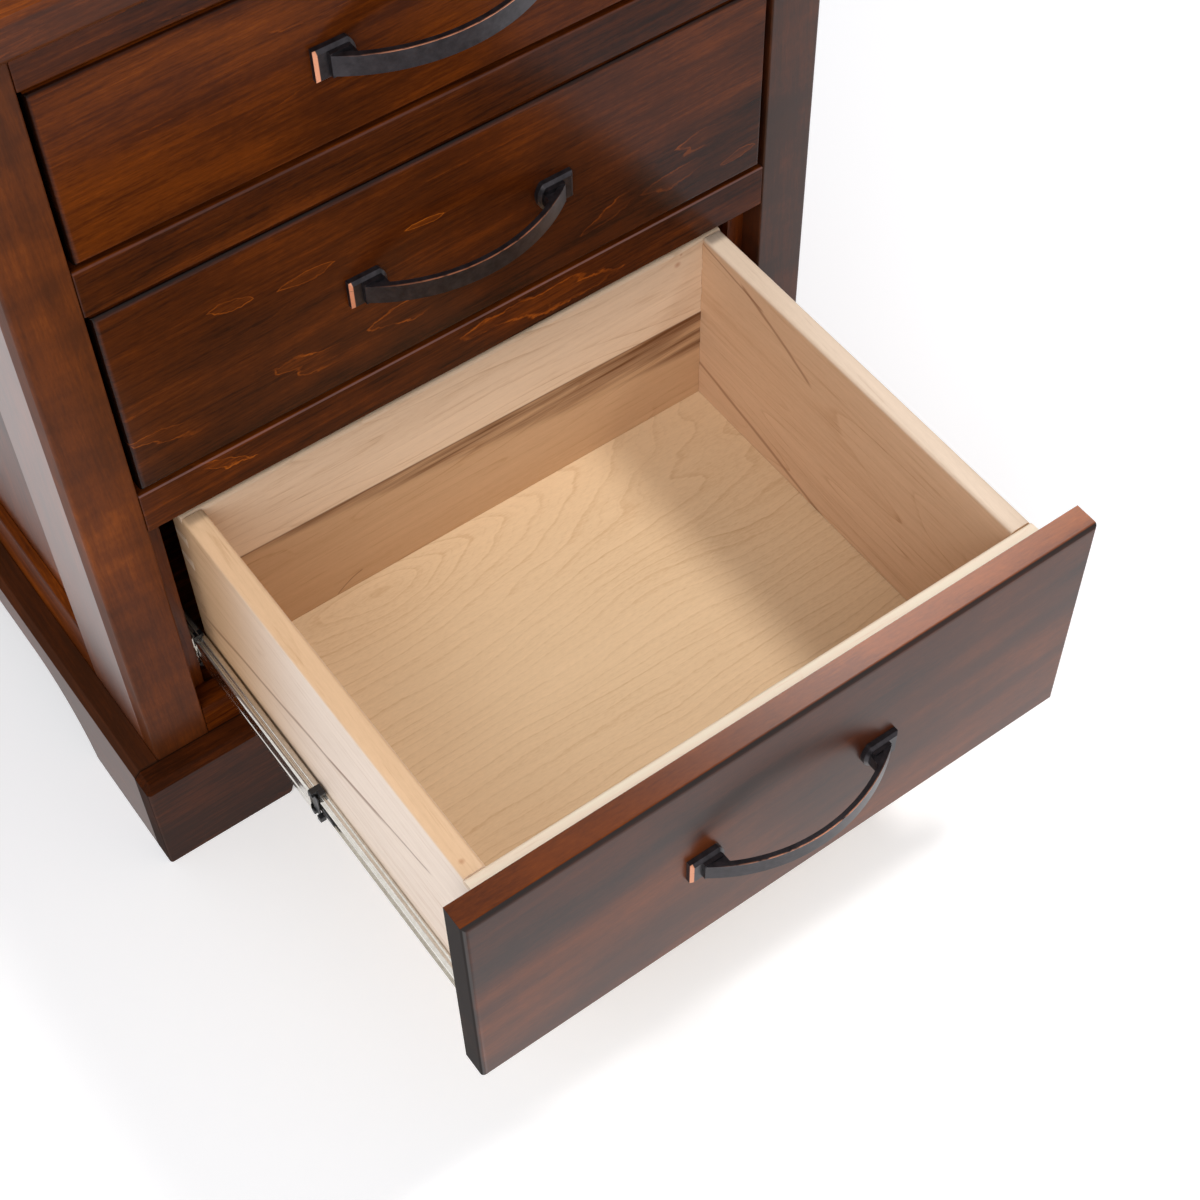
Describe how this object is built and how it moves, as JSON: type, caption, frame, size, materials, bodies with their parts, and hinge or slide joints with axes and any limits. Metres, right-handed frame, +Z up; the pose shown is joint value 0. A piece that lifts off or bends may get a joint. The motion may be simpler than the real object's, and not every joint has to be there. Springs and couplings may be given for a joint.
{
  "type": "nightstand",
  "caption": "Maple nightstand with a face frame, inset drawers in dovetailed boxes on telescopic ball-bearing slides, bow pulls and a bracket-foot base.",
  "frame": {"origin": "on the floor, at the middle of the back face of the rear base board", "axes": "+X to the right seen from the front, +Y to the back, +Z up; the drawers open along -Y"},
  "size_m": [0.61, 0.796, 0.746],
  "materials": {
    "stained_maple": "dark brown stain under a satin lacquer",
    "natural_maple": "clear satin lacquer",
    "maple_plywood": "rotary-cut veneer under a clear lacquer",
    "zinc_steel": "bright zinc plate",
    "oiled_bronze": "dark bronze with copper-coloured worn edges",
    "black_plastic": "moulded, matt"
  },
  "bodies": {
    "cabinet": {"top_board": "stained_maple", "face_stile_left": "stained_maple", "face_stile_right": "stained_maple", "face_rail_top": "stained_maple", "face_rail_upper": "stained_maple", "face_rail_lower": "stained_maple", "face_rail_bottom": "stained_maple", "side_left_front_stile": "stained_maple", "side_left_rear_stile": "stained_maple", "side_left_top_rail": "stained_maple", "side_left_bottom_rail": "stained_maple", "side_left_panel": "stained_maple", "side_right_front_stile": "stained_maple", "side_right_rear_stile": "stained_maple", "side_right_top_rail": "stained_maple", "side_right_bottom_rail": "stained_maple", "side_right_panel": "stained_maple", "back_panel": "stained_maple", "slide_posts": "stained_maple", "base_front_board": "stained_maple", "base_left_board": "stained_maple", "base_right_board": "stained_maple", "base_back_board": "stained_maple", "back_rails": "natural_maple", "floor_cleats": "natural_maple", "base_glue_blocks": "natural_maple", "case_floor": "maple_plywood", "slide_outer_bottom": "zinc_steel", "slide_outer_middle": "zinc_steel", "slide_outer_top": "zinc_steel"},
    "bottom_drawer": {"drawer_bottom_front": "stained_maple", "drawer_bottom_box_front": "natural_maple", "drawer_bottom_left_side": "natural_maple", "drawer_bottom_right_side": "natural_maple", "drawer_bottom_back": "natural_maple", "drawer_bottom_bottom": "maple_plywood", "pull_bottom": "oiled_bronze", "slide_inner_bottom": "zinc_steel"},
    "bottom_slide_carriers": {"slide_intermediate_bottom": "zinc_steel", "slide_retainers_bottom": "black_plastic"},
    "middle_drawer": {"drawer_middle_front": "stained_maple", "drawer_middle_box_front": "natural_maple", "drawer_middle_left_side": "natural_maple", "drawer_middle_right_side": "natural_maple", "drawer_middle_back": "natural_maple", "drawer_middle_bottom": "maple_plywood", "pull_middle": "oiled_bronze", "slide_inner_middle": "zinc_steel"},
    "middle_slide_carriers": {"slide_intermediate_middle": "zinc_steel", "slide_retainers_middle": "black_plastic"},
    "top_drawer": {"drawer_top_front": "stained_maple", "drawer_top_box_front": "natural_maple", "drawer_top_left_side": "natural_maple", "drawer_top_right_side": "natural_maple", "drawer_top_back": "natural_maple", "drawer_top_bottom": "maple_plywood", "pull_top": "oiled_bronze", "slide_inner_top": "zinc_steel"},
    "top_slide_carriers": {"slide_intermediate_top": "zinc_steel", "slide_retainers_top": "black_plastic"}
  },
  "joints": [
    {"name": "bottom_drawer_slide", "type": "slide", "parent": "cabinet", "child": "bottom_drawer", "axis": [0, -1, 0], "range_m": [-0.348, 0]},
    {"name": "bottom_carriers_slide", "type": "slide", "parent": "cabinet", "child": "bottom_slide_carriers", "axis": [0, -1, 0], "range_m": [-0.174, 0]},
    {"name": "middle_drawer_slide", "type": "slide", "parent": "cabinet", "child": "middle_drawer", "axis": [0, -1, 0], "range_m": [0, 0.348]},
    {"name": "middle_carriers_slide", "type": "slide", "parent": "cabinet", "child": "middle_slide_carriers", "axis": [0, -1, 0], "range_m": [0, 0.174]},
    {"name": "top_drawer_slide", "type": "slide", "parent": "cabinet", "child": "top_drawer", "axis": [0, -1, 0], "range_m": [0, 0.348]},
    {"name": "top_carriers_slide", "type": "slide", "parent": "cabinet", "child": "top_slide_carriers", "axis": [0, -1, 0], "range_m": [0, 0.174]}
  ],
  "couplings": [
    {"joint": "bottom_carriers_slide", "follows": "bottom_drawer_slide", "ratio": 0.5},
    {"joint": "middle_carriers_slide", "follows": "middle_drawer_slide", "ratio": 0.5},
    {"joint": "top_carriers_slide", "follows": "top_drawer_slide", "ratio": 0.5}
  ]
}
